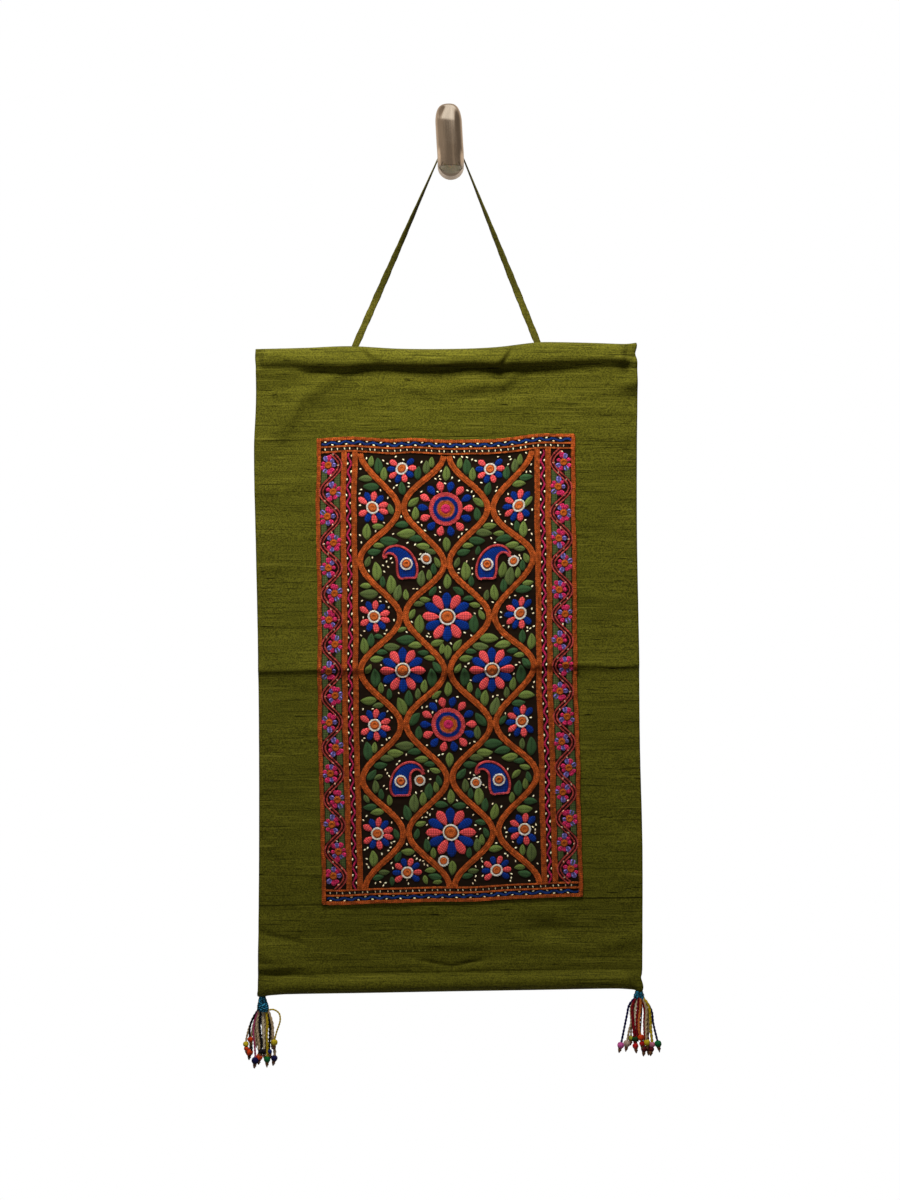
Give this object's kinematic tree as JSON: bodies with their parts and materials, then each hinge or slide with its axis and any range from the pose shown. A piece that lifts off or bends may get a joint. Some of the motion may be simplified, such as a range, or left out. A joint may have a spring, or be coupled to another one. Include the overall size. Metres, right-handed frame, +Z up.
{
  "type": "embroidered wall hanging on a wall peg",
  "caption": "Upright silk wall hanging with rod pockets and a sewn-on embroidered panel, hung by a strap from a bent metal wall peg, with a beaded tassel at each lower corner.",
  "frame": {"origin": "middle of the peg's flat end, where it meets the wall", "axes": "+Y into the wall, +Z up along the hanging, +X to the right of a viewer who faces the embroidery"},
  "size_m": [0.3308, 0.0444, 0.7557],
  "materials": {
    "olive_silk": "slubbed raw silk with a low sheen",
    "embroidered_cloth": "near-black cotton covered with raised stitching in rust, pink, blue, green and cream",
    "strap_silk": "folded silk strip",
    "dowel_wood": "plain sanded wood",
    "brushed_nickel": "brushed, polished at the bend",
    "teal_wrapping": "wound thread",
    "tassel_threads": "twisted threads in many colours, with small round beads"
  },
  "bodies": {
    "root": {"ground_panel": "olive_silk", "embroidered_panel": "embroidered_cloth", "top_rod": "dowel_wood", "bottom_rod": "dowel_wood", "hanging_loop": "strap_silk", "wall_peg": "brushed_nickel", "tassel_head_left": "teal_wrapping", "tassel_head_right": "teal_wrapping", "tassel_skirt_left": "tassel_threads", "tassel_skirt_right": "tassel_threads"}
  },
  "joints": []
}
